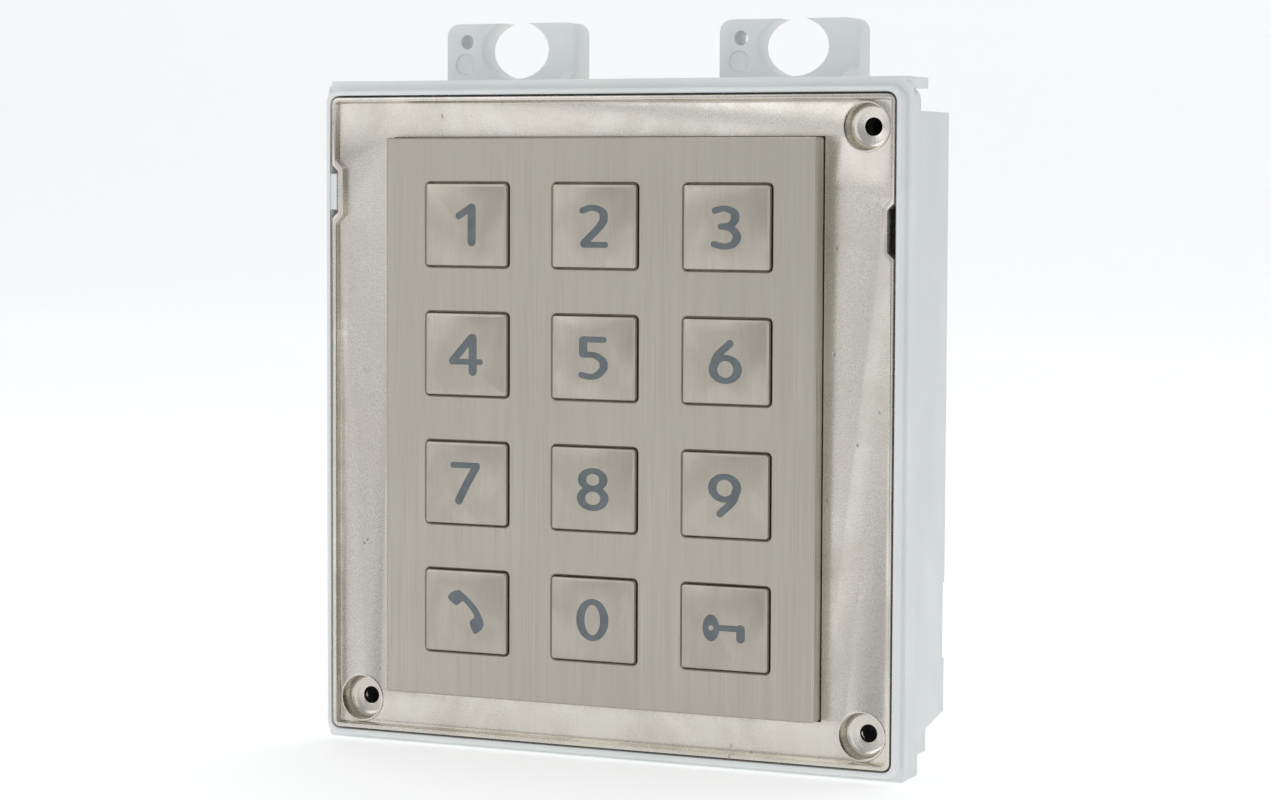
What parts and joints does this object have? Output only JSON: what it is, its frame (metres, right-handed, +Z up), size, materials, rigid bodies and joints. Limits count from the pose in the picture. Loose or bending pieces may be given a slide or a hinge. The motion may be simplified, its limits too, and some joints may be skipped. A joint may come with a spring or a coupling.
{
  "type": "keypad access reader",
  "caption": "Square keypad module for a door station: metal keys in a raised brushed plate, die-cast bezel with screw recesses, white housing with two hanging ears.",
  "frame": {"origin": "middle of the flat rear face of the housing, level with the middle of the keypad", "axes": "+X to the right as the keys are read, +Y back towards the wall, +Z up towards the ears; the keys face -Y"},
  "size_m": [0.1002, 0.0236, 0.1161],
  "materials": {
    "housing": "moulded polycarbonate, fine satin, cool white",
    "bezel": "die-cast zinc, satin nickel plate, faint pitting",
    "gasket": "black rubber, matt",
    "faceplate": "vertical brushed grain, satin nickel",
    "key_cap": "fine satin, bevelled edges",
    "key_legend": "translucent grey-blue inlay, lit from behind",
    "contact_pad": "carbon-loaded silicone pill",
    "key_mat": "milky silicone, matt",
    "light_guide": "clear acrylic sheet, polished",
    "circuit_board": "green solder mask",
    "socket": "black glass-filled nylon",
    "chip": "black epoxy package",
    "led": "clear resin over a pale chip",
    "screw": "zinc-plated steel"
  },
  "bodies": {
    "module": {"rear_housing": "housing", "front_bezel": "bezel", "bezel_gasket": "gasket", "keypad_faceplate": "faceplate", "light_guide": "light_guide", "key_mat": "key_mat", "circuit_board": "circuit_board", "bus_socket_left": "socket", "bus_socket_right": "socket", "controller_chip": "chip", "backlight_led_1": "led", "backlight_led_2": "led", "faceplate_screw_1": "screw", "faceplate_screw_2": "screw", "faceplate_screw_3": "screw", "faceplate_screw_4": "screw", "board_screw_1": "screw", "board_screw_2": "screw", "board_screw_3": "screw", "board_screw_4": "screw", "screw_seal_1": "gasket", "screw_seal_2": "gasket", "screw_seal_3": "gasket"},
    "key_1": {"key_cap_1": "key_cap", "key_legend_1": "key_legend", "contact_pad_1": "contact_pad"},
    "key_2": {"key_cap_2": "key_cap", "key_legend_2": "key_legend", "contact_pad_2": "contact_pad"},
    "key_3": {"key_cap_3": "key_cap", "key_legend_3": "key_legend", "contact_pad_3": "contact_pad"},
    "key_4": {"key_cap_4": "key_cap", "key_legend_4": "key_legend", "contact_pad_4": "contact_pad"},
    "key_5": {"key_cap_5": "key_cap", "key_legend_5": "key_legend", "contact_pad_5": "contact_pad"},
    "key_6": {"key_cap_6": "key_cap", "key_legend_6": "key_legend", "contact_pad_6": "contact_pad"},
    "key_7": {"key_cap_7": "key_cap", "key_legend_7": "key_legend", "contact_pad_7": "contact_pad"},
    "key_8": {"key_cap_8": "key_cap", "key_legend_8": "key_legend", "contact_pad_8": "contact_pad"},
    "key_9": {"key_cap_9": "key_cap", "key_legend_9": "key_legend", "contact_pad_9": "contact_pad"},
    "key_call": {"key_cap_call": "key_cap", "key_legend_call": "key_legend", "contact_pad_call": "contact_pad"},
    "key_0": {"key_cap_0": "key_cap", "key_legend_0": "key_legend", "contact_pad_0": "contact_pad"},
    "key_open": {"key_cap_open": "key_cap", "key_legend_open": "key_legend", "contact_pad_open": "contact_pad"}
  },
  "joints": [
    {"name": "key_1_press", "type": "slide", "parent": "module", "child": "key_1", "axis": [0, 1, 0], "range_m": [0, 0.001], "stiffness_N_per_m": 1000, "springref_m": -0.0008},
    {"name": "key_2_press", "type": "slide", "parent": "module", "child": "key_2", "axis": [0, 1, 0], "range_m": [0, 0.001], "stiffness_N_per_m": 1000, "springref_m": -0.0008},
    {"name": "key_3_press", "type": "slide", "parent": "module", "child": "key_3", "axis": [0, 1, 0], "range_m": [0, 0.001], "stiffness_N_per_m": 1000, "springref_m": -0.0008},
    {"name": "key_4_press", "type": "slide", "parent": "module", "child": "key_4", "axis": [0, 1, 0], "range_m": [0, 0.001], "stiffness_N_per_m": 1000, "springref_m": -0.0008},
    {"name": "key_5_press", "type": "slide", "parent": "module", "child": "key_5", "axis": [0, 1, 0], "range_m": [0, 0.001], "stiffness_N_per_m": 1000, "springref_m": -0.0008},
    {"name": "key_6_press", "type": "slide", "parent": "module", "child": "key_6", "axis": [0, 1, 0], "range_m": [0, 0.001], "stiffness_N_per_m": 1000, "springref_m": -0.0008},
    {"name": "key_7_press", "type": "slide", "parent": "module", "child": "key_7", "axis": [0, 1, 0], "range_m": [0, 0.001], "stiffness_N_per_m": 1000, "springref_m": -0.0008},
    {"name": "key_8_press", "type": "slide", "parent": "module", "child": "key_8", "axis": [0, 1, 0], "range_m": [0, 0.001], "stiffness_N_per_m": 1000, "springref_m": -0.0008},
    {"name": "key_9_press", "type": "slide", "parent": "module", "child": "key_9", "axis": [0, 1, 0], "range_m": [0, 0.001], "stiffness_N_per_m": 1000, "springref_m": -0.0008},
    {"name": "key_call_press", "type": "slide", "parent": "module", "child": "key_call", "axis": [0, 1, 0], "range_m": [0, 0.001], "stiffness_N_per_m": 1000, "springref_m": -0.0008},
    {"name": "key_0_press", "type": "slide", "parent": "module", "child": "key_0", "axis": [0, 1, 0], "range_m": [0, 0.001], "stiffness_N_per_m": 1000, "springref_m": -0.0008},
    {"name": "key_open_press", "type": "slide", "parent": "module", "child": "key_open", "axis": [0, 1, 0], "range_m": [0, 0.001], "stiffness_N_per_m": 1000, "springref_m": -0.0008}
  ]
}
